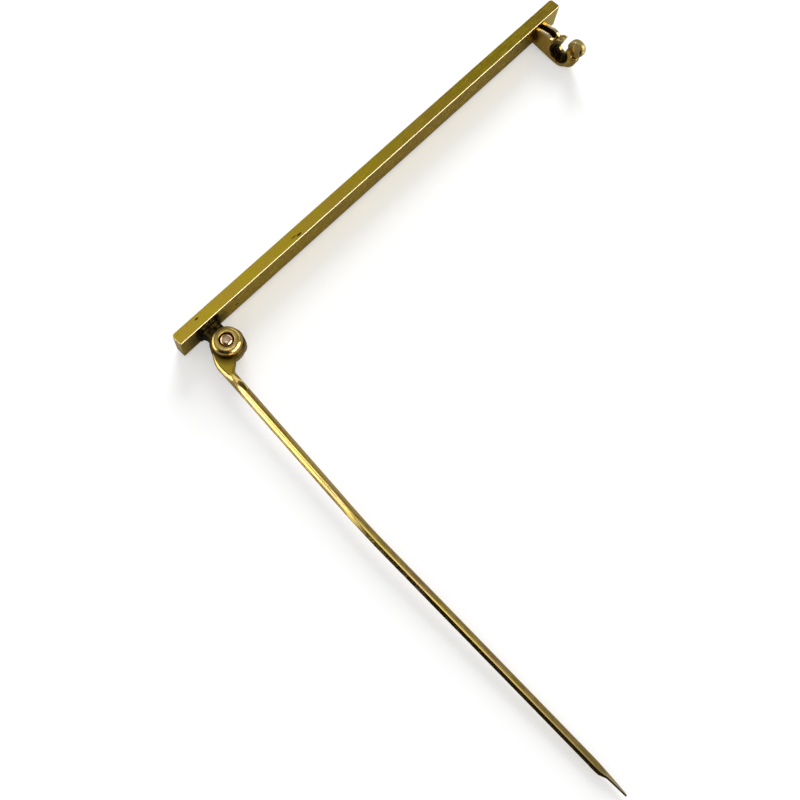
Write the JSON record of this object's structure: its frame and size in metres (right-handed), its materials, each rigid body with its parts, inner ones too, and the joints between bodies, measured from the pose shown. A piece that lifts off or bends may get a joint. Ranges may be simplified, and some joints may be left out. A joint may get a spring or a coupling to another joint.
{
  "type": "bar brooch",
  "caption": "Slim plain bar brooch with a swinging pin on a riveted joint and a roll-over safety catch that closes over the pin.",
  "frame": {"origin": "centre of the bar's flat back face, which the cloth lies against", "axes": "+X along the bar from the pin joint towards the catch, +Y out of the display face, +Z across the bar's width towards the side the catch opens on"},
  "size_m": [0.0574, 0.0547, 0.0041],
  "materials": {
    "bar_gold": "satin, polished by wear",
    "findings_gold": "polished",
    "rivet_gold": "polished, pinkish",
    "pin_gold": "bright, drawn and filed",
    "rotor_gold": "fine brushed"
  },
  "bodies": {
    "bar_frame": {"bar": "bar_gold", "joint_plate": "findings_gold", "joint_knuckle": "findings_gold", "hinge_rivet": "rivet_gold", "catch_near_cheek": "findings_gold", "catch_far_cheek": "findings_gold", "catch_cradle": "findings_gold"},
    "pin": {"brooch_pin": "pin_gold"},
    "rotor": {"rotor_ring": "rotor_gold", "thumb_tab": "rotor_gold"}
  },
  "joints": [
    {"name": "pin_hinge", "type": "hinge", "parent": "bar_frame", "child": "pin", "pos_m": [-0.0243, -0.0025, 0], "axis": [0, 0, 1], "range_deg": [-50, 92]},
    {"name": "catch_roll", "type": "hinge", "parent": "bar_frame", "child": "rotor", "pos_m": [0.02425, -0.0034, 0.0001], "axis": [-1, 0, 0], "range_deg": [0, 72]}
  ]
}
